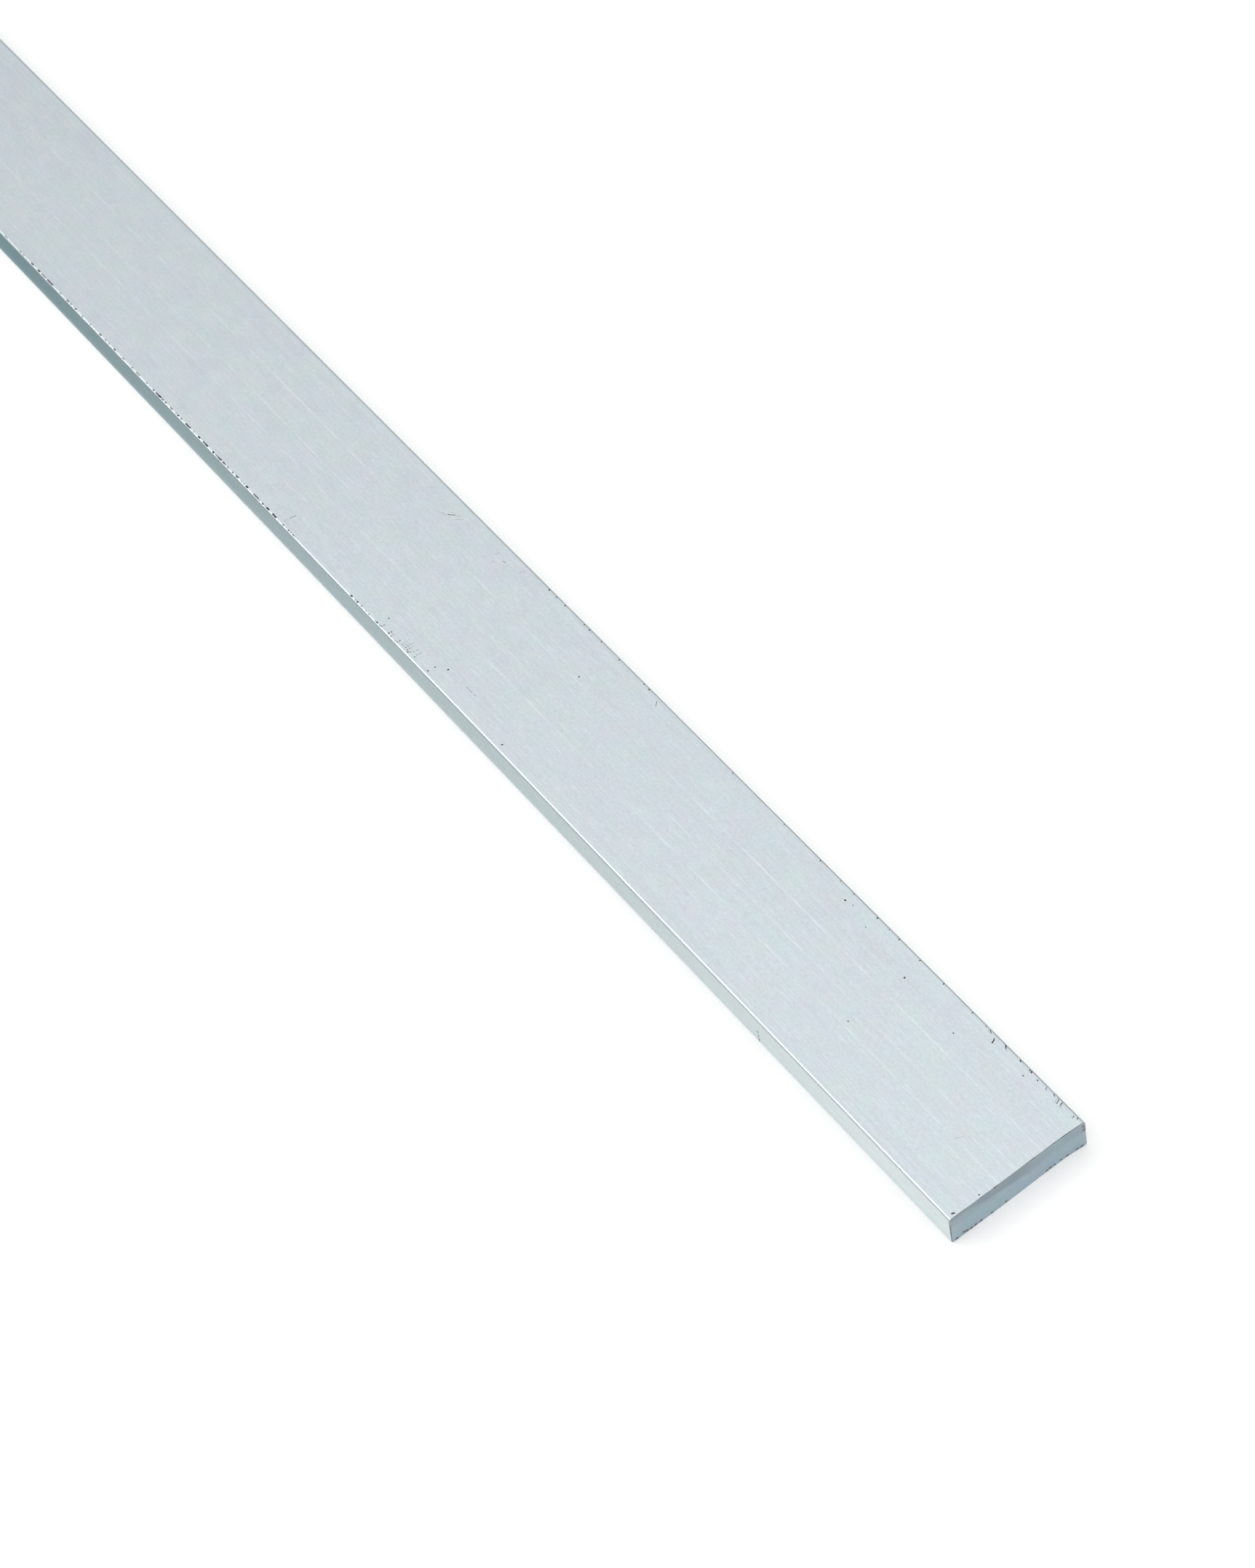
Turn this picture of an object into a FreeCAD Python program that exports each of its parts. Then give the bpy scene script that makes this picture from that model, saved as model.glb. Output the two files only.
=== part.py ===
import FreeCAD, Part
import os

# Extruded aluminium flat bar, 1 in wide and 1/4 in thick, cut to a 36 in stock length.
# The bar is one solid piece: it lies flat on one wide face, with its length along X, its
# width along Y and its thickness along Z. The origin is the middle of the face it lies on.
# All sizes are in millimetres.

# Driving dimensions
bar_length = 914.4
bar_width = 25.4
bar_thickness = 6.35
arris_radius = 0.5      # the die rounds the four long corners by this much
end_break = 0.15        # edge taken off all round each sawn end

DIAGONAL = 2 ** -0.5    # sine and cosine of 45 degrees, for the middle of a corner arc
SAME_PLACE = 0.001      # an edge that runs less than this along X lies in an end's plane


def corner_arc(centre_y, centre_z, side_y, side_z):
    """One rounded corner of the section, from its upright side to its flat side.

    side_y and side_z are +1 or -1, and say which corner of the section it is.
    """
    upright = FreeCAD.Vector(0, centre_y + side_y * arris_radius, centre_z)
    middle = FreeCAD.Vector(
        0,
        centre_y + side_y * arris_radius * DIAGONAL,
        centre_z + side_z * arris_radius * DIAGONAL,
    )
    flat = FreeCAD.Vector(0, centre_y, centre_z + side_z * arris_radius)
    return Part.Arc(upright, middle, flat).toShape()


def bar_section():
    """The extrusion's section: a rectangle with four small round corners, as a face."""
    centre_y = bar_width / 2 - arris_radius
    low_z = arris_radius
    high_z = bar_thickness - arris_radius
    back_edge = bar_width / 2

    corners = [
        corner_arc(centre_y, high_z, 1, 1),
        corner_arc(-centre_y, high_z, -1, 1),
        corner_arc(-centre_y, low_z, -1, -1),
        corner_arc(centre_y, low_z, 1, -1),
    ]
    flats = [
        ((centre_y, bar_thickness), (-centre_y, bar_thickness)),
        ((-back_edge, high_z), (-back_edge, low_z)),
        ((-centre_y, 0), (centre_y, 0)),
        ((back_edge, low_z), (back_edge, high_z)),
    ]
    sides = [
        Part.makeLine(FreeCAD.Vector(0, *start), FreeCAD.Vector(0, *end))
        for start, end in flats
    ]
    outline = Part.Wire(Part.__sortEdges__(corners + sides))
    return Part.Face(outline)


def end_edges(bar):
    """The edges round the two sawn ends: all but the long ones that run along X."""
    return [edge for edge in bar.Edges if edge.BoundBox.XLength < SAME_PLACE]


def flat_bar():
    """The bar: its section drawn out along X, then the sawn ends' edges broken."""
    section = bar_section()
    section.translate(FreeCAD.Vector(-bar_length / 2, 0, 0))
    bar = section.extrude(FreeCAD.Vector(bar_length, 0, 0))
    return bar.makeChamfer(end_break, end_edges(bar))


os.makedirs("parts", exist_ok=True)
flat_bar().exportStep("parts/flat_bar.step")
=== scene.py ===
import math
import random

import bpy
import numpy as np
from mathutils import Euler, Matrix, Vector
from mathutils.geometry import delaunay_2d_cdt


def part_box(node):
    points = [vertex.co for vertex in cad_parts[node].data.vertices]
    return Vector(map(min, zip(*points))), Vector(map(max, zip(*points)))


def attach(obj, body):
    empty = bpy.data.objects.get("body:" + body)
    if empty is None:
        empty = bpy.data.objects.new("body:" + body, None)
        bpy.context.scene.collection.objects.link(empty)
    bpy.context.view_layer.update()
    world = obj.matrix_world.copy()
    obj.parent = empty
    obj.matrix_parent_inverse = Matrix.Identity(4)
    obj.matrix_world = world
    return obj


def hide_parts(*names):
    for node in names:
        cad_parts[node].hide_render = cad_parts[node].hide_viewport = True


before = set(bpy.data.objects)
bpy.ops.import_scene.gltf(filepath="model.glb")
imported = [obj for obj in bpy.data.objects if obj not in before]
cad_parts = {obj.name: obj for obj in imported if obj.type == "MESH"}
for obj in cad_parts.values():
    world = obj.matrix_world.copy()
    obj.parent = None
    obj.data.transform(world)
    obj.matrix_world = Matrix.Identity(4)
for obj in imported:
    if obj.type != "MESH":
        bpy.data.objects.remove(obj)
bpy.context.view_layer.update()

# The bar's outline
# One length of extruded aluminium flat bar, lying on a wide face. The die gives all of it
# but the ends one section: a flat rectangle whose four long corners are rounded by 0.5 mm.
# Its skin is worked out unrolled, as x along the bar and s round the section, in millimetres.
MM = 0.001
low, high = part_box("flat_bar")
bar_length = (high.x - low.x) / MM
bar_width = (high.y - low.y) / MM
bar_thickness = (high.z - low.z) / MM
corner_round = 0.5
corner_steps = 8        # facets round each long corner

end_x = bar_length / 2
corner_y = bar_width / 2 - corner_round
corner_z = bar_thickness - corner_round
corner_girth = corner_round * math.pi / 2

# The outline starts in the middle of the underside and goes up the near side, the one at -Y.
# Each row ends a stretch: how long it is, the middle of its round, as y and z, and which way
# the skin faces there, in degrees.
stretches = [
    (0, 0, corner_round, -90),
    (corner_y, -corner_y, corner_round, -90),
    (corner_girth, -corner_y, corner_round, -180),
    (corner_z - corner_round, -corner_y, corner_z, -180),
    (corner_girth, -corner_y, corner_z, -270),
    (2 * corner_y, corner_y, corner_z, -270),
    (corner_girth, corner_y, corner_z, -360),
    (corner_z - corner_round, corner_y, corner_round, -360),
    (corner_girth, corner_y, corner_round, -450),
    (corner_y, 0, corner_round, -450),
]
girths = np.cumsum([row[0] for row in stretches])
girth = girths[-1]

# The girths at which the four long corners, and the faces between them, begin
NEAR_BOTTOM, NEAR_SIDE, NEAR_TOP, TOP, FAR_TOP, FAR_SIDE, FAR_BOTTOM = girths[1:8]


def facing_at(s):
    """The way the skin faces at girth s, as y and z."""
    angle = np.radians(np.interp(s, girths, [row[3] for row in stretches]))
    return np.cos(angle), np.sin(angle)


def on_skin(x, s, depth):
    """Places in millimetres, at girth s round the section and depth under the skin."""
    facing_y, facing_z = facing_at(s)
    middle_y = np.interp(s, girths, [row[1] for row in stretches])
    middle_z = np.interp(s, girths, [row[2] for row in stretches])
    reach = corner_round - depth
    return np.stack([x, middle_y + reach * facing_y, middle_z + reach * facing_z], -1)


# Knocks and scratches
# Soft aluminium picks up marks in the rack: nicks along the long corners, short scratches,
# and specks of dirt rubbed into them. Each mark is a groove cut into the skin, from one
# point to another, with a half width, a depth and how dark the dirt in it is, from 0 to 1.
nick_depth = 0.05       # of the nicks and of most pits
draw = random.Random(11)
marks = []


def groove(start, end, half_width, depth, dirt):
    marks.append((*start, *end, half_width, depth, dirt))


def top_place(from_end, from_near_edge):
    """A place on the upper face: how far it is from the sawn end and from the near edge."""
    return end_x - from_end, TOP + from_near_edge - corner_round


def speck(place, size, depth=nick_depth, dirt=0.6):
    """A small pit, a little longer one way than the other."""
    lean = draw.uniform(0, math.pi)
    reach = draw.uniform(0.2, 0.7) * size
    dx, ds = reach * math.cos(lean), reach * math.sin(lean)
    groove((place[0] - dx, place[1] - ds), (place[0] + dx, place[1] + ds), size, depth, dirt)


def scratch(places, half_width=0.06, depth=0.02, dirt=0.3):
    """A shallow groove that goes from place to place."""
    for start, end in zip(places, places[1:]):
        groove(start, end, half_width, depth, dirt)


# A curved scratch across the far part of the upper face, darkest in its middle, one by the
# sawn end, and short faint ones here and there
scratch([top_place(158.1, 21.0), top_place(157.3, 21.3), top_place(156.5, 21.6)], 0.065, dirt=0.35)
scratch([top_place(156.3, 21.8), top_place(155.9, 22.1), top_place(155.4, 22.6)], 0.085, dirt=0.8)
scratch([top_place(19.8, 24.5), top_place(19.6, 24.3), top_place(19.4, 23.8)], 0.09, dirt=1)
for start, end, dirt in (
        ((155.0, 22.7), (154.6, 23.2), 0.4), ((154.6, 22.1), (153.7, 23.0), 0.35),
        ((156.3, 22.5), (155.6, 22.9), 0.3), ((160.2, 22.5), (159.3, 22.9), 0.25),
        ((155.9, 17.9), (155.1, 18.2), 0.25), ((144.3, 22.8), (144.1, 23.5), 0.35),
        ((143.6, 21.5), (143.2, 21.8), 0.35), ((142.3, 22.8), (141.8, 23.0), 0.65),
        ((141.4, 22.9), (140.9, 22.9), 0.3), ((138.6, 23.5), (138.3, 24.2), 0.35),
        ((125.6, 3.7), (125.1, 3.7), 0.5), ((124.9, 3.7), (124.1, 3.7), 0.5),
        ((123.7, 3.7), (123.1, 3.7), 0.4), ((131.9, 3.7), (131.2, 3.8), 0.2),
        ((173.5, 1.0), (173.5, 1.6), 0.35), ((173.4, 2.0), (173.1, 3.0), 0.7),
        ((103.0, 24.4), (102.4, 23.8), 0.7),
        ((10.3, 9.4), (9.9, 9.9), 0.25), ((9.9, 9.9), (9.8, 10.4), 0.15)):
    scratch([top_place(*start), top_place(*end)], dirt=dirt)

# Single specks that stand out on the upper face, and how dark they are: the darker, the wider
for from_end, from_near_edge, dirt in (
        (145.3, 2.3, 0.7), (132.2, 2.2, 0.8), (130.4, 3.5, 1), (132.4, 0.9, 0.8), (115.2, 18.2, 0.8),
        (112.6, 1.3, 1), (53.8, 23.3, 1), (52.3, 23.6, 0.6), (47.9, 22.6, 0.4), (36.9, 21.3, 0.9),
        (36.4, 10.2, 0.8), (24.5, 20.6, 0.8), (0.5, 6.0, 0.8), (12.0, 23.6, 0.8)):
    speck(top_place(from_end, from_near_edge), 0.08 + 0.05 * dirt, dirt=dirt)

# The deepest pit, beside the sawn end
groove(top_place(0.65, 1.1), top_place(0.5, 1.4), half_width=0.14, depth=0.06, dirt=0.95)

# A patch by the near corner, scuffed by something with a fine regular edge: it left tiny pits
# in columns across the bar. Each row is how far a column is from the sawn end, how far its
# first pit is from the near edge, how many pits it has and how dark they are.
pit_spacing = 0.47
pit_size = 0.11
pit_depth = 0.04
for from_end, first, pits, dirt in (
        (144.7, 0.5, 2, 0.8), (142.85, 0.6, 2, 1), (142.05, 0.5, 2, 0.7), (140.9, 0.5, 1, 0.5),
        (140.45, 0.55, 2, 0.8), (139.5, 0.95, 4, 0.5), (139.05, 0.95, 3, 0.4), (138.55, 0.95, 4, 0.8),
        (138.0, 0.9, 4, 0.8), (137.65, 0.7, 1, 0.9), (137.4, 0.95, 1, 0.5), (137.0, 1.45, 3, 0.7),
        (136.2, 0.95, 4, 0.7)):
    for pit in range(pits):
        across = first + pit_spacing * pit
        fade = 1.2 - 0.4 * across       # fainter the farther from the edge
        place = top_place(from_end - draw.uniform(-0.08, 0.08), across)
        speck(place, pit_size, pit_depth, dirt * fade)

# Nicks worn into the near upper corner, in a broken line: how far from the sawn end each
# begins and ends, and how dark it is
nick_line = 0.42        # from the near edge
for start, end, dirt in (
        (146.4, 146.2, 0.4), (146.0, 145.8, 0.9), (145.2, 145.0, 0.5), (148.2, 148.1, 0.5),
        (149.1, 149.0, 0.3), (150.4, 150.3, 0.6), (151.6, 151.4, 0.9), (152.1, 152.0, 0.5),
        (153.3, 153.0, 0.9), (169.6, 169.4, 0.3), (170.2, 169.9, 0.6), (170.8, 170.7, 0.4),
        (171.5, 171.3, 0.7), (173.1, 172.8, 0.6), (175.4, 175.1, 1), (176.0, 175.5, 1),
        (177.8, 177.2, 1), (178.4, 178.0, 0.4), (179.1, 178.8, 0.8), (180.3, 179.9, 0.4),
        (181.7, 180.4, 0.8), (183.9, 183.5, 1), (184.7, 184.5, 0.4), (185.4, 185.2, 0.3),
        (186.9, 186.4, 0.9), (188.0, 187.8, 0.7), (189.6, 189.2, 0.5), (190.3, 190.1, 0.6),
        (190.9, 190.5, 0.9), (192.3, 191.4, 0.9), (193.0, 192.5, 0.6), (193.9, 193.6, 1),
        (196.8, 196.0, 0.8), (195.9, 195.5, 1), (198.3, 197.9, 1), (199.8, 199.6, 0.5),
        (201.1, 200.8, 0.9), (202.1, 201.3, 0.9), (203.6, 203.4, 0.7), (204.6, 204.4, 0.9),
        (205.2, 205.0, 0.5), (206.8, 206.3, 0.7), (208.4, 208.2, 0.8), (209.5, 209.0, 0.7),
        (210.4, 209.8, 1), (211.2, 210.6, 0.8), (212.1, 211.9, 0.8), (213.5, 213.2, 0.3),
        (214.3, 214.0, 0.5), (217.3, 216.4, 0.5), (218.8, 218.6, 0.6), (221.7, 221.2, 0.5),
        (224.4, 224.0, 0.8), (226.1, 225.9, 0.4), (227.2, 227.0, 0.6), (228.9, 228.5, 0.8),
        (231.9, 231.7, 0.4), (234.4, 234.2, 0.5), (236.7, 236.4, 0.8), (238.2, 238.0, 0.6),
        (239.3, 238.8, 0.7), (241.6, 241.2, 0.5), (245.6, 243.9, 0.8), (247.4, 246.2, 0.6),
        (248.6, 248.1, 0.9), (250.8, 250.2, 0.8), (253.6, 253.2, 0.4), (254.6, 254.2, 0.5),
        (259.4, 258.7, 0.4)):
    across = nick_line + draw.uniform(-0.03, 0.03)
    groove(top_place(start, nick_line), top_place(end, across), 0.09 + 0.06 * dirt, nick_depth, dirt)

# Nicks in the far upper corner, from place to place, with a half width. Each is a dark stroke
# across the corner, with a bare one beside it and a little farther in.
beside, farther_in = 0.3, 0.1
for start, end, half_width in (
        ((1.2, 24.9), (1.0, 24.85), 0.08), ((1.8, 24.8), (1.6, 24.4), 0.06),
        ((4.65, 24.9), (4.5, 24.35), 0.08), ((5.45, 24.95), (5.1, 24.25), 0.06),
        ((6.65, 24.95), (6.3, 24.8), 0.06), ((8.2, 24.95), (8.0, 24.5), 0.04),
        ((10.1, 24.7), (9.9, 24.65), 0.08), ((11.8, 25.0), (11.6, 24.85), 0.14),
        ((12.2, 25.0), (12.05, 24.95), 0.1), ((14.4, 25.0), (14.1, 24.9), 0.1),
        ((17.75, 25.05), (17.35, 24.7), 0.1), ((21.35, 25.05), (20.8, 24.75), 0.07),
        ((22.3, 25.0), (22.1, 24.95), 0.06)):
    groove(top_place(*start), top_place(*end), half_width, nick_depth, 0.9)
    along = draw.choice((-beside, beside))
    groove(top_place(start[0] + along, start[1] - farther_in),
           top_place(end[0] + along, end[1] - farther_in), half_width, nick_depth, 0)

# Dark pits in the same corner, and their sizes
far_line = 24.95        # from the near edge
for from_end, size in (
        (25.4, 0.1), (32.2, 0.09), (37.8, 0.09), (42.8, 0.11), (45.2, 0.08), (48.0, 0.12),
        (53.8, 0.08), (57.0, 0.08), (62.0, 0.1), (71.0, 0.08), (84.0, 0.09), (105.7, 0.11),
        (107.1, 0.09), (113.6, 0.1), (118.4, 0.09), (121.6, 0.11), (123.0, 0.09), (128.2, 0.12),
        (130.5, 0.1), (132.5, 0.12)):
    speck(top_place(from_end, far_line), size, dirt=1)

# A graze down the near side, in three strokes: where each begins and ends above its lower edge
for start, end in ((3.1, 2.8), (2.1, 1.8), (1.1, 0.6)):
    stroke_start = (end_x - 45.8, NEAR_SIDE + start - corner_round)
    stroke_end = (end_x - 45.7, NEAR_SIDE + end - corner_round)
    groove(stroke_start, stroke_end, half_width=0.15, depth=0.04, dirt=0.8)

# The rest of the bar has marks of the same kinds, placed by chance: knocks in each long
# corner, pits and long scratches on the upper face, and pits all along the underside
rest_start = 300        # from the sawn end
end_margin = 3
corner_knocks, top_pits, underside_pits, long_scratches = 26, 60, 70, 12
for corner in (NEAR_BOTTOM, NEAR_TOP, FAR_TOP, FAR_BOTTOM):
    for knock in range(corner_knocks):
        place = draw.uniform(rest_start, bar_length - end_margin)
        groove((end_x - place, corner + corner_girth * draw.uniform(0.3, 0.7)),
               (end_x - place - draw.uniform(0.1, 0.8), corner + corner_girth * draw.uniform(0.3, 0.7)),
               draw.uniform(0.08, 0.16), draw.uniform(0.05, 0.1), draw.uniform(0.2, 0.9))
for pit in range(top_pits):
    speck((end_x - draw.uniform(rest_start, bar_length - end_margin), TOP + draw.uniform(0.5, 23.9)),
          draw.uniform(0.08, 0.14))
for pit in range(underside_pits):
    s = draw.choice([draw.uniform(1, NEAR_BOTTOM - 1), draw.uniform(FAR_BOTTOM + 2, girth - 1)])
    speck((end_x - draw.uniform(end_margin, bar_length - end_margin), s), draw.uniform(0.08, 0.14))
for line in range(long_scratches):
    x = end_x - draw.uniform(rest_start, bar_length - 10)
    s = TOP + draw.uniform(2, 22)
    lean = draw.uniform(-1.2, 1.2)
    scratch([(x, s), (x - draw.uniform(1, 3), s + lean), (x - draw.uniform(3, 5), s + 1.5 * lean)])


def depth_at(x, s):
    """How far the marks cut into the skin at each of its places.

    A mark is deepest along the line from its start to its end, and runs out at its half width.
    """
    deepest = np.zeros(len(x))
    for x0, s0, x1, s1, half_width, depth, _ in marks:
        near = np.abs(x - (x0 + x1) / 2) < abs(x1 - x0) / 2 + half_width
        px, ps = x[near] - x0, s[near] - s0
        dx, ds = x1 - x0, s1 - s0
        along = np.clip((px * dx + ps * ds) / (dx * dx + ds * ds), 0, 1)
        off = np.hypot(px - along * dx, ps - along * ds) / half_width
        deepest[near] = np.maximum(deepest[near], depth * np.clip(1 - off ** 2, 0, 1))
    return deepest


# The skin between the ends
# Long facets run the whole bar round each corner, and the flats are wide facets. Each mark
# adds its own rim and floor to them, so that the mesh is fine only where the metal is marked.
end_break = 0.05        # edge taken off round each sawn end
edge_spacing = 0.4      # points round the sawn ends' edges
same_place = 0.002      # points nearer to each other than this are one
skin_end = end_x - end_break

# The saw wandered, so that neither end is quite square: by so much along the cut's lower edge
# at each y, and by less towards the upper edge
saw_wander = [(-10, 0), (-5, 0.07), (0, 0.18), (4, 0.28), (8.5, 0.35), (10, 0.3), (12.7, 0.1)]
wander_at_top = 0.6     # share of it that is left there
wander_reach = 5        # length of skin by each end that is drawn back with the cut


def follow_cut(places):
    """Draws places near the ends back to where the saw left the metal."""
    x, y, z = places.T
    wander = np.interp(y, *zip(*saw_wander)) * (1 - (1 - wander_at_top) * z / bar_thickness)
    share = np.clip((np.abs(x) - end_x + wander_reach) / wander_reach, 0, 1)
    return np.stack([x - np.sign(x) * wander * share, y, z], -1)


# Where the points round each end lie, and the lines that run from end to end
ring_girths = [0.0]
for begin, finish in zip(girths, girths[1:]):
    is_round = abs(finish - begin - corner_girth) < same_place
    steps = corner_steps if is_round else math.ceil((finish - begin) / edge_spacing)
    ring_girths += [begin + (finish - begin) * (i + 1) / steps for i in range(steps)]
corner_lines = [
    start + corner_girth * i / corner_steps
    for start in (NEAR_BOTTOM, NEAR_TOP, FAR_TOP, FAR_BOTTOM)
    for i in range(corner_steps + 1)
]

points, edges, rims = [], [], []


def add_chain(places, closed=False):
    """Adds points, with edges from each to the next, and gives their numbers."""
    numbers = list(range(len(points), len(points) + len(places)))
    points.extend(Vector(place) for place in places)
    edges.extend(zip(numbers, numbers[1:]))
    if closed:
        edges.append((numbers[-1], numbers[0]))
    return numbers


for x in (-skin_end, skin_end):
    add_chain([(x, s) for s in ring_girths])
for s in [0.0, girth] + corner_lines:
    add_chain([(-skin_end, s), (skin_end, s)])

# Each mark has a ragged rim, a loop half way in and points along its floor
rim_steps = 5           # points round each end of a mark
for x0, s0, x1, s1, half_width, _, _ in marks:
    heading = math.atan2(s1 - s0, x1 - x0)
    rim, inner = [], []
    for cx, cs, turn in ((x1, s1, heading - math.pi / 2), (x0, s0, heading + math.pi / 2)):
        for i in range(rim_steps):
            angle = turn + math.pi * i / (rim_steps - 1)
            reach = half_width * draw.uniform(0.85, 1.2)
            for loop, share in ((rim, 1), (inner, 0.5)):
                x = cx + share * reach * math.cos(angle)
                loop.append((max(-skin_end, min(skin_end, x)), cs + share * reach * math.sin(angle)))
    rims.append(add_chain(rim, closed=True))
    add_chain(inner, closed=True)
    floor_steps = max(1, round(math.hypot(x1 - x0, s1 - s0) / half_width))
    points.extend(
        Vector((x0 + (x1 - x0) * i / floor_steps, s0 + (s1 - s0) * i / floor_steps))
        for i in range(floor_steps + 1)
    )

# Triangles are asked for over the whole area, and for each the rims that it lies inside
WHOLE_AREA, SAME_POINT = 0, 1e-7
skin_points, _, skin_faces, _, _, from_rims = delaunay_2d_cdt(
    points, edges, rims, WHOLE_AREA, SAME_POINT, True)
skin_x = np.array([p.x for p in skin_points])
skin_s = np.array([p.y for p in skin_points])
skin_places = follow_cut(on_skin(skin_x, skin_s, depth_at(skin_x, skin_s)))
skin_faces = np.array(skin_faces)

# The mesh is put together from parts, each with its own places, faces, normals, dirt (on the
# sawn ends with painted shade) and finish. The bare skin's normals are the section's own, so that it
# shades as one true surface.
MILL, SAWN = 0, 1
mesh_parts = []


def at_corners(values):
    """One value for each face, repeated at its three corners."""
    return np.repeat(np.array(values)[:, None], 3, axis=1)


def face_normals(places, faces):
    """The way each face looks. One without area gets no direction, not an error."""
    a, b, c = (places[faces[:, i]] for i in range(3))
    across = np.cross(b - a, c - a)
    length = np.linalg.norm(across, axis=1, keepdims=True)
    return across / np.maximum(length, 1e-12)


def add_part(places, faces, normals, dirt, finish):
    mesh_parts.append((places, faces, normals, dirt, np.full(len(faces), finish)))


marked = np.array([bool(owners) for owners in from_rims])
facing_y, facing_z = facing_at(skin_s)
skin_normals = np.stack([np.zeros_like(skin_x), facing_y, facing_z], -1)
clean_faces = skin_faces[~marked]
add_part(skin_places, clean_faces, skin_normals[clean_faces], np.zeros(clean_faces.shape), MILL)

marked_faces = skin_faces[marked]
mark_dirt = [max(marks[owner][-1] for owner in owners) for owners in from_rims if owners]
add_part(skin_places, marked_faces, at_corners(face_normals(skin_places, marked_faces)),
         at_corners(mark_dirt), MILL)

# The sawn ends
# A fine-toothed circular saw cuts the bar square, and the cut's edges are barely broken. Each
# tooth leaves a faint arc across the face, and the blade digs in a little under the top edge.
saw_radius = 160        # the blade's teeth run on this radius
saw_middle = (-0.35 * saw_radius, 0.94 * saw_radius)    # the blade's middle, as y and z
saw_feed = 1.1          # one arc to the next
saw_groove = 0.008      # how deep the arcs are
grid_spacing = 0.25     # points over each end's face

# The hollow that the blade dug: how deep it is, its lower edge, as y and z, how high the step
# there is, and what is left of it at each y, as it runs out to the far side
dig_depth = 0.06
dig_floor = [(-9.5, 5.3), (-7, 4.6), (-5, 4.2), (-2, 3.7), (0.5, 3.4), (2.2, 2.9), (5, 3.3)]
dig_step = 0.4
dig_share = [(1.5, 1), (3, 0.4), (7, 0)]


def ramp(value, start, length):
    """0 up to the start, and rising to 1 over the length."""
    return np.clip((value - start) / length, 0, 1)


def hollow_at(y, z):
    """Where the blade dug in under the top edge: 1 there and 0 below it."""
    return np.interp(y, *zip(*dig_share)) * ramp(z, np.interp(y, *zip(*dig_floor)), dig_step)


def saw_marks(y, z):
    """How far the sawn face lies inside the bar's end at each of its places."""
    arc = np.hypot(y - saw_middle[0], z - saw_middle[1]) / saw_feed
    return saw_groove * (0.5 + 0.5 * np.sin(2 * math.pi * arc)) + dig_depth * hollow_at(y, z)


def painted_shade_at(y, z):
    """How much darker the sawn face is, from 0 to 1: painted shade that grows up the face, most on its
    upper half and deepest in the hollow, and a darkening along the top edge and towards the far side.
    """
    middle = 0.06 * ramp(z, 1, 1.5)
    upper = 0.15 * ramp(z, 3, 1.6)
    hollow = 0.15 * hollow_at(y, z)
    rim = 0.06 * ramp(z, 5.8, 0.4)
    far = 0.05 * ramp(y, 8, 3)
    return middle + upper + hollow + rim + far


# Where the cut's edge is darkened or chipped: the middle of the place round the section, how far
# it reaches each way, how dark it is and how much more of the edge is gone there
edge_places = [
    # The first darkens the whole near upright edge of the cut into a dark line
    ((NEAR_SIDE + NEAR_TOP) / 2, 3.4, 1, 0.15),
    (TOP + 1.2, 1, 0.9, 0.1),
    (TOP + 2.3, 0.3, 0.9, 0.12),
    (TOP + 5.4, 0.6, 1, 0.18),
    (TOP + 6.5, 0.4, 0.9, 0.18),
    (TOP + 8.1, 0.7, 1, 0.22),
    (TOP + 11.5, 4, 0.4, 0),
    (TOP + 15.1, 1.6, 0.9, 0.12),
    (TOP + 20.8, 4.2, 0.9, 0.12),
    (NEAR_BOTTOM - 0.6, 1.6, 0.7, 0.16),
    (girth - 6.1, 0.6, 1, 0.08),
    (girth - 9.5, 2, 0.5, 0.03),
    (FAR_BOTTOM + 0.4, 0.6, 1, 0.12),
    (FAR_SIDE + 1.2, 0.8, 1, 0.15),
    ((FAR_SIDE + FAR_BOTTOM) / 2, 2.4, 0.3, 0),
]

# Chips on the cut itself, by its lower and far edges, as y, z and how far they reach
chips = [
    (-11.7, 0.3, 0.35), (-10.4, 0.7, 0.35), (-9.8, 0.45, 0.35), (-9.0, 0.3, 0.35),
    (-8.2, 0.3, 0.35), (-7.2, 0.3, 0.35), (-5.1, 0.25, 0.3), (-2.4, 0.35, 0.3),
    (5.3, 0.35, 0.3), (6.0, 0.45, 0.35), (6.8, 0.35, 0.3), (8.0, 0.4, 0.25),
    (9.2, 0.4, 0.3), (11.0, 0.35, 0.3), (11.8, 0.35, 0.35), (12.35, 4.3, 0.4),
    (12.3, 5.3, 0.4),
]
chip_depth = 0.08
chip_slope = 1.4        # above 1, a chip has a flat floor in its middle


def chipped_at(y, z):
    """The chips, from 1 in their middles to 0 outside them."""
    shares = [np.clip(chip_slope - chip_slope * np.hypot(y - chip_y, z - chip_z) / reach, 0, 1)
              for chip_y, chip_z, reach in chips]
    return np.max(shares, axis=0)


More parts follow.
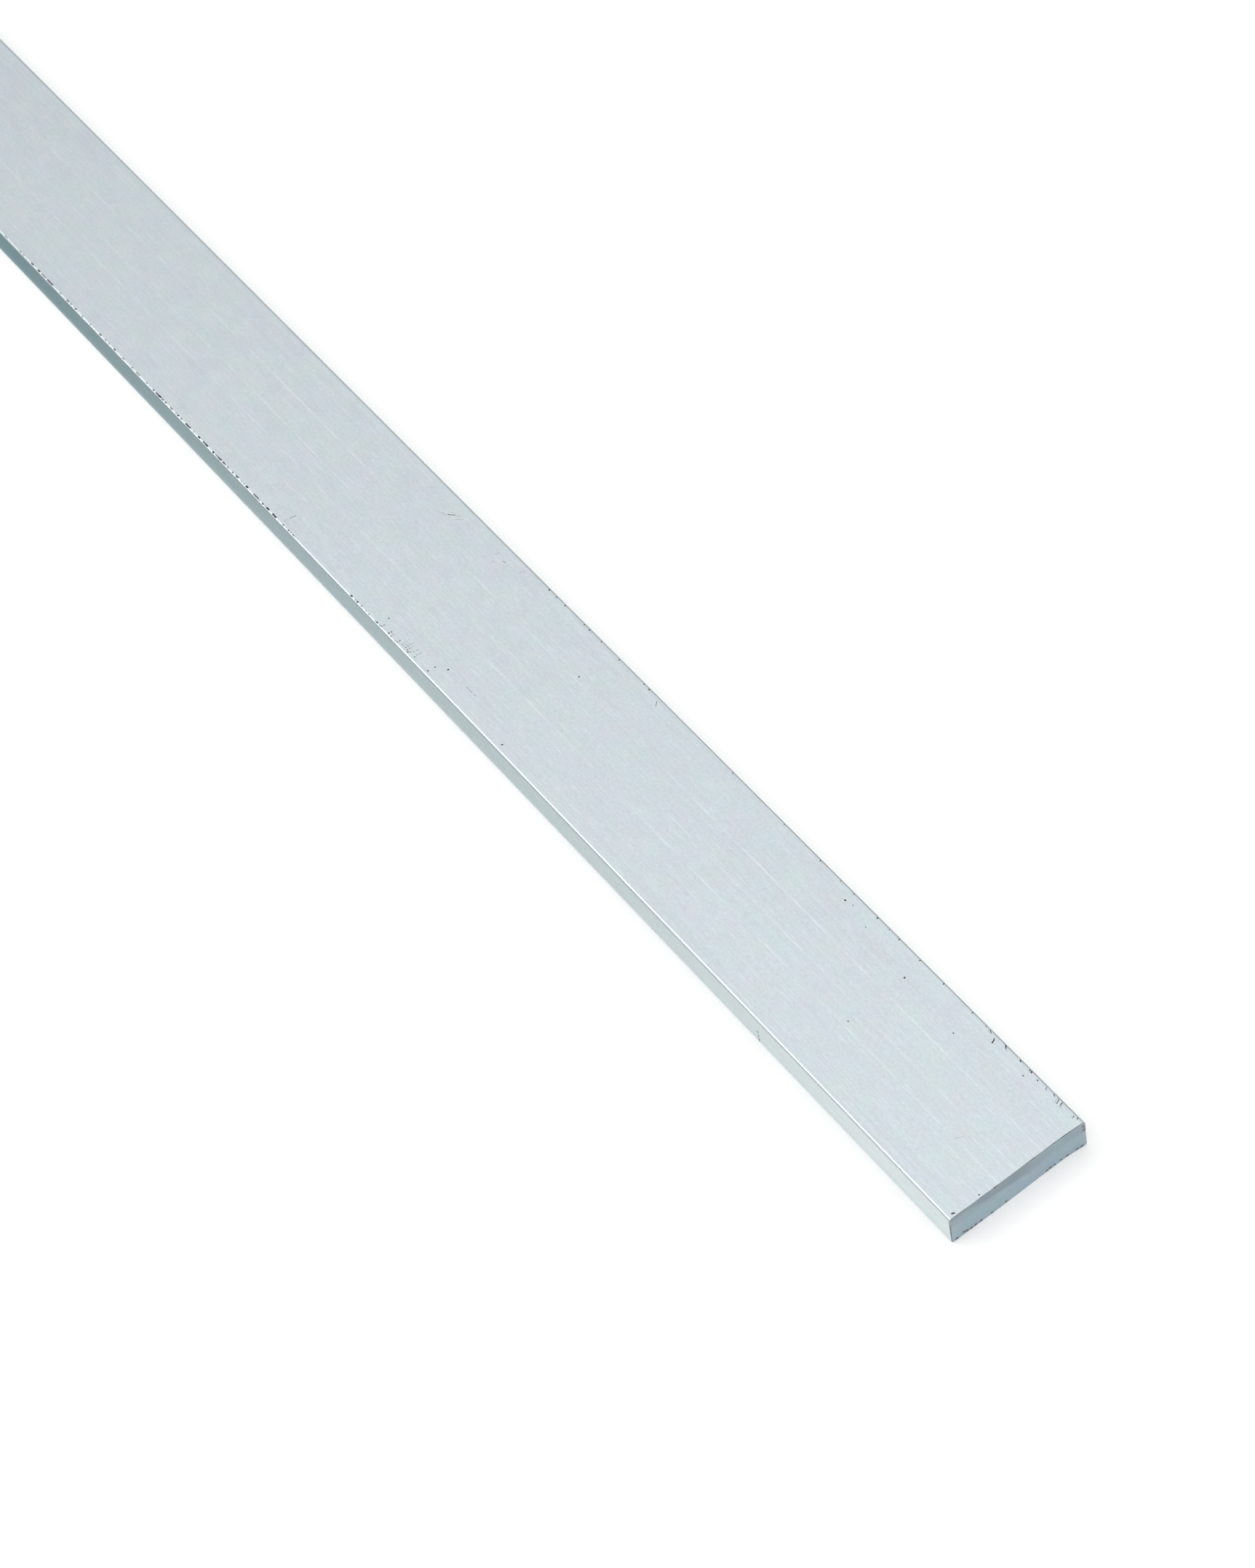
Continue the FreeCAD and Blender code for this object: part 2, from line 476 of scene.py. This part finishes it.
for side in (-1, 1):
    ring = np.flatnonzero(np.abs(skin_x - side * skin_end) < same_place)
    ring = ring[np.argsort(skin_s[ring])][:-1]      # the last is the first again
    count = len(ring)
    ring_s = skin_s[ring]
    broken = np.array([end_break * draw.uniform(0.6, 1.1) for _ in ring])
    edge_dirt = np.array([0.3 * draw.random() ** 3 for _ in ring])     # mostly next to none
    for middle, reach, dark, gone in edge_places:
        share = np.clip(1.3 - np.abs(ring_s - middle) / reach, 0, 1)
        broken += gone * share
        patchy = np.array([draw.uniform(0.5, 1) for _ in ring])
        edge_dirt = np.maximum(edge_dirt, dark * share * patchy)
    edge = follow_cut(on_skin(np.full(count, side * end_x), ring_s, broken))

    # The broken edge: a strip of faces from the skin to the cut
    strip_places = np.concatenate([skin_places[ring], edge])
    i = np.arange(count)
    j = (i + 1) % count
    strip_faces = np.concatenate([np.stack([i, i + count, j + count], -1),
                                  np.stack([i, j + count, j], -1)])
    strip_faces = strip_faces[:, ::side]        # turned over at the far end, to look outwards
    strip_dirt = np.concatenate([edge_dirt, edge_dirt])
    add_part(strip_places, strip_faces, at_corners(face_normals(strip_places, strip_faces)),
             strip_dirt[strip_faces], SAWN)

    # The cut's face: a grid of points inside the edge, whose own points stay where they are
    outline = [Vector(place) for place in edge[:, 1:]]
    grid = [
        Vector((y, z))
        for y in np.arange(-bar_width / 2, bar_width / 2, grid_spacing)
        for z in np.arange(0, bar_thickness, grid_spacing)
    ]
    cut_points, _, cut_faces, sources, _, from_outline = delaunay_2d_cdt(
        outline + grid, [], [i[::-1].tolist()], WHOLE_AREA, SAME_POINT, True)
    y, z = np.array([place[:] for place in cut_points]).T
    face_depth = saw_marks(y, z) + chip_depth * chipped_at(y, z)
    face_places = follow_cut(np.stack([side * (end_x - face_depth), y, z], -1))
    # The face's painted shade, and its chips darkened
    face_shade_and_dirt = np.maximum(painted_shade_at(y, z), chipped_at(y, z))
    for number, origins in enumerate(sources):
        if min(origins) < count:
            face_places[number] = edge[min(origins)]
    inside = [bool(owners) for owners in from_outline]
    end_faces = np.array(cut_faces)[inside][:, ::side]
    add_part(face_places, end_faces, at_corners(face_normals(face_places, end_faces)),
             face_shade_and_dirt[end_faces], SAWN)

# All the parts become one closed mesh: where their places meet, they share a point, and a
# face whose corners have become one point is left out
part_places, part_faces, part_normals, part_dirt_and_shade, part_finishes = zip(*mesh_parts)
first_places = np.cumsum([0] + [len(places) for places in part_places[:-1]])
places = np.concatenate(part_places)
_, kept, numbers = np.unique(np.round(places / same_place).astype(int), axis=0,
                             return_index=True, return_inverse=True)
faces = np.concatenate([faces + first for faces, first in zip(part_faces, first_places)])
faces = numbers.ravel()[faces]
whole = (faces != np.roll(faces, 1, axis=1)).all(axis=1)
used, faces = np.unique(faces[whole], return_inverse=True)
faces = faces.reshape(-1, 3)

mesh = bpy.data.meshes.new("bar")
mesh.from_pydata(places[kept[used]] * MM, [], faces.tolist())
mesh.polygons.foreach_set("material_index", np.concatenate(part_finishes)[whole])
mesh.polygons.foreach_set("use_smooth", np.ones(len(faces), bool))
mesh.normals_split_custom_set(np.concatenate(part_normals)[whole].reshape(-1, 3))
# On the sawn ends this attribute also carries painted shade, besides dirt
dirt = mesh.attributes.new("dirt", "FLOAT", "CORNER")
dirt.data.foreach_set("value", np.concatenate(part_dirt_and_shade)[whole].ravel())
bar = bpy.data.objects.new("bar", mesh)
bpy.context.scene.collection.objects.link(bar)


# Mill finish
# Aluminium as it leaves the die, neither polished nor anodised: satin and cool grey-white,
# with pale lines drawn along it by the die and a faint lilac and green cloudiness.
def linear(hex_colour):
    """An sRGB hex colour as the linear one that a shader takes."""
    parts = [int(hex_colour[i:i + 2], 16) / 255 for i in (1, 3, 5)]
    return [c / 12.92 if c <= 0.04045 else ((c + 0.055) / 1.055) ** 2.4 for c in parts] + [1]


def add_node(tree, kind, settings=(), links=()):
    """Adds a node. Settings and links are pairs, by property or by socket identifier."""
    node = tree.nodes.new(kind)
    sockets = {socket.identifier: socket for socket in node.inputs}
    for name, value in dict(settings).items():
        if name in sockets:
            sockets[name].default_value = value
        else:
            setattr(node, name, value)
    for name, source in dict(links).items():
        tree.links.new(source, sockets[name])
    return node


def new_material(name):
    material = bpy.data.materials.new(name)
    material.use_nodes = True
    material.node_tree.nodes.clear()
    return material


def add_patterns(tree, place, sizes):
    """Soft random patterns, by name: each has a length along the bar, a width and a fineness.

    Each gives a level, as Fac, and three levels at once, as Color.
    """
    patterns = {}
    for name, (length, width, detail) in sizes.items():
        scale = (1 / (length * MM), 1 / (width * MM), 1 / (width * MM))
        stretched = add_node(tree, "ShaderNodeMapping", {"Scale": scale}, {"Vector": place})
        noise = add_node(tree, "ShaderNodeTexNoise", {"Scale": 1, "Detail": detail},
                         {"Vector": stretched.outputs[0]})
        patterns[name] = noise.outputs
    return patterns


def mill_finish():
    material = new_material("mill_finish_aluminium")
    tree = material.node_tree
    place = add_node(tree, "ShaderNodeTexCoord").outputs["Object"]
    axes = add_node(tree, "ShaderNodeSeparateXYZ", {}, {"Vector": place})
    # Sizes in millimetres. Real die lines are finer, about 0.1 mm: these are as coarse as they
    # need to be to show.
    patterns = add_patterns(tree, place, {
        "clouds": (4, 3, 2),
        "lines": (60, 0.28, 1),
        "rubs": (3.5, 0.22, 0),
        "breaks": (7, 30, 1),
        "grain": (0.5, 0.38, 1),
    })

    # What makes the metal paler or darker, a few parts in a hundred each: a fine even grain,
    # clouds a few millimetres across, and short pale rubs that lie along the bar
    shades = [
        add_node(tree, "ShaderNodeMapRange",
                 {"From Min": low, "From Max": high, "To Min": darkest, "To Max": palest},
                 {"Value": patterns[name]["Fac"]})
        for name, low, high, darkest, palest in (
            ("grain", 0, 1, -0.08, 0.08), ("clouds", 0, 1, -0.025, 0.025), ("rubs", 0.6, 0.74, 0, 0.05))
    ]

    # The die's lines show most within a few millimetres of the long edges
    off_middle = add_node(tree, "ShaderNodeMath", {"operation": "ABSOLUTE"},
                          {"Value": axes.outputs["Y"]})
    strength = add_node(tree, "ShaderNodeMapRange", {
        "From Min": 8.5 * MM, "From Max": 12 * MM, "To Min": 0.075, "To Max": 0.15},
        {"Value": off_middle.outputs[0]})
    lines = add_node(tree, "ShaderNodeMath", {"operation": "SUBTRACT", "Value_001": 0.5},
                     {"Value": patterns["lines"]["Fac"]})
    shades.append(add_node(tree, "ShaderNodeMath", {"operation": "MULTIPLY"},
                           {"Value": lines.outputs[0], "Value_001": strength.outputs[0]}))

    # Three deeper lines run the whole length, and show where they aren't rubbed flat
    show = add_node(tree, "ShaderNodeMapRange", {
        "From Min": 0.4, "From Max": 0.62, "To Min": 0.01, "To Max": 0.09},
        {"Value": patterns["breaks"]["Fac"]})
    for from_near_edge, half_width in ((9.3, 0.2), (12.8, 0.16), (17.5, 0.2)):
        off_line = add_node(tree, "ShaderNodeMath", {
            "operation": "SUBTRACT", "Value_001": (from_near_edge - bar_width / 2) * MM},
            {"Value": axes.outputs["Y"]})
        off_line = add_node(tree, "ShaderNodeMath", {"operation": "ABSOLUTE"},
                            {"Value": off_line.outputs[0]})
        on_line = add_node(tree, "ShaderNodeMapRange", {
            "From Min": half_width * MM, "From Max": 0.3 * half_width * MM},
            {"Value": off_line.outputs[0]})
        shades.append(add_node(tree, "ShaderNodeMath", {"operation": "MULTIPLY"},
                               {"Value": on_line.outputs[0], "Value_001": show.outputs[0]}))

    # All of it shows most within 175 mm of the sawn end, where the bar has been handled
    total = shades[0].outputs[0]
    for shade in shades[1:]:
        total = add_node(tree, "ShaderNodeMath", {"operation": "ADD"},
                         {"Value": total, "Value_001": shade.outputs[0]}).outputs[0]
    handled_from, handled_to = end_x - 220, end_x - 175
    handled = add_node(tree, "ShaderNodeMapRange", {
        "From Min": handled_from * MM, "From Max": handled_to * MM, "To Min": 0.8, "To Max": 1.05},
        {"Value": axes.outputs["X"]})
    level = add_node(tree, "ShaderNodeMath", {"operation": "MULTIPLY_ADD", "Value_002": 1},
                     {"Value": total, "Value_001": handled.outputs[0]})
    clouded = add_node(tree, "ShaderNodeMix", {
        "data_type": "RGBA", "Factor_Float": 0.068, "A_Color": linear("#D3DDE2")},
        {"B_Color": patterns["clouds"]["Color"]})
    lined = add_node(tree, "ShaderNodeHueSaturation", {},
                     {"Color": clouded.outputs[2], "Value": level.outputs[0]})

    # Dirt in the marks is dark and mirrors little
    dirt = add_node(tree, "ShaderNodeAttribute", {"attribute_name": "dirt"}).outputs["Fac"]
    colour = add_node(tree, "ShaderNodeMix", {"data_type": "RGBA", "B_Color": linear("#30393D")},
                      {"Factor_Float": dirt, "A_Color": lined.outputs[0]})
    metal = add_node(tree, "ShaderNodeMapRange", {"To Min": 1, "To Max": 0.2}, {"Value": dirt})
    rough = add_node(tree, "ShaderNodeMapRange", {
        "From Min": 0.3, "From Max": 0.7, "To Min": 0.39, "To Max": 0.45},
        {"Value": patterns["clouds"]["Fac"]})
    bump = add_node(tree, "ShaderNodeBump", {"Strength": 0.1, "Distance": 0.01 * MM},
                    {"Height": patterns["lines"]["Fac"]})
    bsdf = add_node(tree, "ShaderNodeBsdfPrincipled", {}, {
        "Base Color": colour.outputs[2], "Metallic": metal.outputs[0], "Roughness": rough.outputs[0],
        "Normal": bump.outputs[0]})
    add_node(tree, "ShaderNodeOutputMaterial", {}, {"Surface": bsdf.outputs[0]})
    return material


# Sawn finish
# The same metal where the saw has torn it: a deeper blue-grey, rougher, with fine arcs from
# the teeth, and dirt and small burrs along the cut's edges. Painted shade darkens its upper half and the
# blade's hollow.
def sawn_finish():
    material = new_material("sawn_aluminium")
    tree = material.node_tree
    place = add_node(tree, "ShaderNodeTexCoord").outputs["Object"]
    patterns = add_patterns(tree, place, {"clouds": (3, 2.5, 2), "grain": (0.4, 0.4, 2)})

    # The teeth's arcs: a pattern of the distance from the blade's middle. The real ones are
    # 0.1 mm apart, and these are drawn as coarse as they need to be to show.
    drawn_arc = 0.35
    blade_middle = (0, saw_middle[0] * MM, saw_middle[1] * MM)
    from_middle = add_node(tree, "ShaderNodeVectorMath", {
        "operation": "SUBTRACT", "Vector_001": blade_middle}, {"Vector": place})
    flat = add_node(tree, "ShaderNodeVectorMath", {"operation": "MULTIPLY", "Vector_001": (0, 1, 1)},
                    {"Vector": from_middle.outputs[0]})
    radius = add_node(tree, "ShaderNodeVectorMath", {"operation": "LENGTH"}, {"Vector": flat.outputs[0]})
    arcs = add_node(tree, "ShaderNodeTexNoise", {
        "noise_dimensions": "1D", "Scale": 1 / (drawn_arc * MM), "Detail": 2},
        {"W": radius.outputs["Value"]})

    # The arcs and a fine grain make the metal paler or darker by a tenth or so
    level = add_node(tree, "ShaderNodeMath", {
        "operation": "MULTIPLY_ADD", "Value_001": 0.1, "Value_002": 0.88},
        {"Value": arcs.outputs[0]})
    level = add_node(tree, "ShaderNodeMath", {"operation": "MULTIPLY_ADD", "Value_001": 0.14},
                     {"Value": patterns["grain"]["Fac"], "Value_002": level.outputs[0]})
    clouded = add_node(tree, "ShaderNodeMix", {
        "data_type": "RGBA", "Factor_Float": 0.1, "A_Color": linear("#A6BBC6")},
        {"B_Color": patterns["clouds"]["Color"]})
    sawn = add_node(tree, "ShaderNodeHueSaturation", {},
                    {"Color": clouded.outputs[2], "Value": level.outputs[0]})
    # Here the dirt attribute also carries the face's painted shade
    dirt = add_node(tree, "ShaderNodeAttribute", {"attribute_name": "dirt"}).outputs["Fac"]
    colour = add_node(tree, "ShaderNodeMix", {"data_type": "RGBA", "B_Color": linear("#5A474C")},
                      {"Factor_Float": dirt, "A_Color": sawn.outputs[0]})
    height = add_node(tree, "ShaderNodeMath", {"operation": "ADD"},
                      {"Value": arcs.outputs[0], "Value_001": patterns["grain"]["Fac"]})
    bump = add_node(tree, "ShaderNodeBump", {"Strength": 0.4, "Distance": 0.015 * MM},
                    {"Height": height.outputs[0]})
    bsdf = add_node(tree, "ShaderNodeBsdfPrincipled", {"Metallic": 1, "Roughness": 0.5},
                    {"Base Color": colour.outputs[2], "Normal": bump.outputs[0]})
    add_node(tree, "ShaderNodeOutputMaterial", {}, {"Surface": bsdf.outputs[0]})
    return material


for material in (mill_finish(), sawn_finish()):
    mesh.materials.append(material)
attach(bar, "root")
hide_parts("flat_bar")

# Floor and light
# White paper under the bar, a ceiling that is brightest overhead, a long soft box hung beyond
# the near edge, and a smaller one beyond the sawn end that catches the cut's top edge.
# All of its sizes are in metres.
floor_reach = 12.0
floor_mesh = bpy.data.meshes.new("paper_floor")
floor_mesh.from_pydata(
    [(x * floor_reach, y * floor_reach, 0) for x, y in ((-1, -1), (1, -1), (1, 1), (-1, 1))],
    [], [(0, 1, 2, 3)])
floor = bpy.data.objects.new("paper_floor", floor_mesh)
bpy.context.scene.collection.objects.link(floor)


def white_paper():
    """Matt white paper, with a faint glow where it is seen or mirrored, so that it comes out white."""
    material = new_material("white_paper")
    tree = material.node_tree
    rays = add_node(tree, "ShaderNodeLightPath")
    glossy = add_node(tree, "ShaderNodeMath", {"operation": "ADD"}, {
        "Value": rays.outputs["Is Camera Ray"], "Value_001": rays.outputs["Is Glossy Ray"]})
    seen = add_node(tree, "ShaderNodeMath", {"operation": "ADD", "use_clamp": True}, {
        "Value": glossy.outputs[0], "Value_001": rays.outputs["Is Transmission Ray"]})
    lift = add_node(tree, "ShaderNodeMath", {"operation": "MULTIPLY", "Value_001": 0.2},
                    {"Value": seen.outputs[0]})
    glow = add_node(tree, "ShaderNodeEmission", {}, {"Strength": lift.outputs[0]})
    matt = add_node(tree, "ShaderNodeBsdfDiffuse", {"Color": linear("#F4F4F4")})
    both = add_node(tree, "ShaderNodeAddShader", {}, {
        "Shader": glow.outputs[0], "Shader_001": matt.outputs[0]})
    add_node(tree, "ShaderNodeOutputMaterial", {}, {"Surface": both.outputs[0]})
    return material


floor_mesh.materials.append(white_paper())

# The walls are grey up to some 20 degrees, and from there the ceiling brightens to overhead.
# The heights are those of the way one looks, from 0 at floor level to 1 overhead.
wall_top, overhead = 0.38, 1
wall_level, ceiling_level = 0.4, 1.74
world = bpy.data.worlds.new("studio")
bpy.context.scene.world = world
world.use_nodes = True
tree = world.node_tree
tree.nodes.clear()
direction = add_node(tree, "ShaderNodeTexCoord")
axes = add_node(tree, "ShaderNodeSeparateXYZ", {}, {"Vector": direction.outputs["Generated"]})
level = add_node(tree, "ShaderNodeMapRange", {
    "From Min": wall_top, "From Max": overhead, "To Min": wall_level, "To Max": ceiling_level},
    {"Value": axes.outputs["Z"]})
sky = add_node(tree, "ShaderNodeBackground", {}, {"Strength": level.outputs[0]})
add_node(tree, "ShaderNodeOutputWorld", {}, {"Surface": sky.outputs[0]})

# Each soft box: where it hangs, where it points, its width and height, and its watts
for name, place, target, width, height, energy in (
        ("long_soft_box", (0, -0.45, 0.6), (0.35, 0, 0), 0.7, 0.3, 1.65),
        ("end_soft_box", (1.25, 0.28, 0.42), (0.457, 0, 0), 0.35, 0.25, 1.2)):
    lamp = bpy.data.lights.new(name, "AREA")
    lamp.color = (1, 0.98, 0.93)        # a little warm
    lamp.shape = "RECTANGLE"
    lamp.size = width
    lamp.size_y = height
    lamp.energy = energy
    box = bpy.data.objects.new(name, lamp)
    box.location = place
    box.rotation_euler = (Vector(target) - box.location).to_track_quat("-Z", "Y").to_euler()
    box.visible_camera = False
    bpy.context.scene.collection.objects.link(box)

# A long grey card beside the near edge glows, as a painted reflection for that edge to mirror:
# pale by the sawn end and darker along the bar. It is no lamp; only reflections see it, and it puts no
# shade on the paper.
card_gap = 0.3          # from the bar to the card, in millimetres
card_near, card_far = -(bar_width / 2 + card_gap) * MM, -0.15
card_back, card_front = -0.9, 0.6
card_lift = 0.00005     # off the paper
card_mesh = bpy.data.meshes.new("reflection_glow_card")
card_mesh.from_pydata(
    [(card_back, card_far, card_lift), (card_front, card_far, card_lift),
     (card_front, card_near, card_lift), (card_back, card_near, card_lift)],
    [], [(0, 1, 2, 3)])
card = bpy.data.objects.new("reflection_glow_card", card_mesh)
bpy.context.scene.collection.objects.link(card)
for ray in ("camera", "diffuse", "transmission", "shadow", "volume_scatter"):
    setattr(card, "visible_" + ray, False)


def reflection_glow_card():
    material = new_material("reflection_glow_card")
    tree = material.node_tree
    place = add_node(tree, "ShaderNodeTexCoord")
    axes = add_node(tree, "ShaderNodeSeparateXYZ", {}, {"Vector": place.outputs["Object"]})
    # Its glow is a painted reflection: near white by the sawn end, fading to grey along the bar
    dark_until, pale_from = end_x - 260, end_x - 20
    fade = add_node(tree, "ShaderNodeMapRange", {
        "From Min": dark_until * MM, "From Max": pale_from * MM}, {"Value": axes.outputs["X"]})
    eased = add_node(tree, "ShaderNodeMath", {"operation": "POWER", "Value_001": 1.06},
                     {"Value": fade.outputs[0]})
    tone = add_node(tree, "ShaderNodeMix", {
        "data_type": "RGBA", "A_Color": linear("#829B9E"), "B_Color": linear("#FEFFFA")},
        {"Factor_Float": eased.outputs[0]})
    glow = add_node(tree, "ShaderNodeEmission", {"Strength": 1.08}, {"Color": tone.outputs[2]})
    add_node(tree, "ShaderNodeOutputMaterial", {}, {"Surface": glow.outputs[0]})
    return material


card_mesh.materials.append(reflection_glow_card())

# Camera
# A long lens looks down on the sawn end from beyond it and is tilted a little to one side, so
# that the bar runs out of the picture at the upper left.
camera_place = (0.76094, -0.20194, 0.60212)
azimuth, elevation, roll = 63.18, 53.248, -12.133
camera_data = bpy.data.cameras.new("camera")
camera_data.sensor_width = 36
camera_data.lens = 110.64
camera_data.clip_start = 0.01
camera = bpy.data.objects.new("camera", camera_data)
bpy.context.scene.collection.objects.link(camera)
turned = Euler((math.radians(90 - elevation), 0, math.radians(azimuth))).to_matrix().to_4x4()
camera.matrix_world = (Matrix.Translation(camera_place) @ turned
                       @ Matrix.Rotation(math.radians(roll), 4, "Z"))
bpy.context.scene.camera = camera
bpy.context.scene.view_settings.view_transform = "Standard"

bpy.context.view_layer.update()
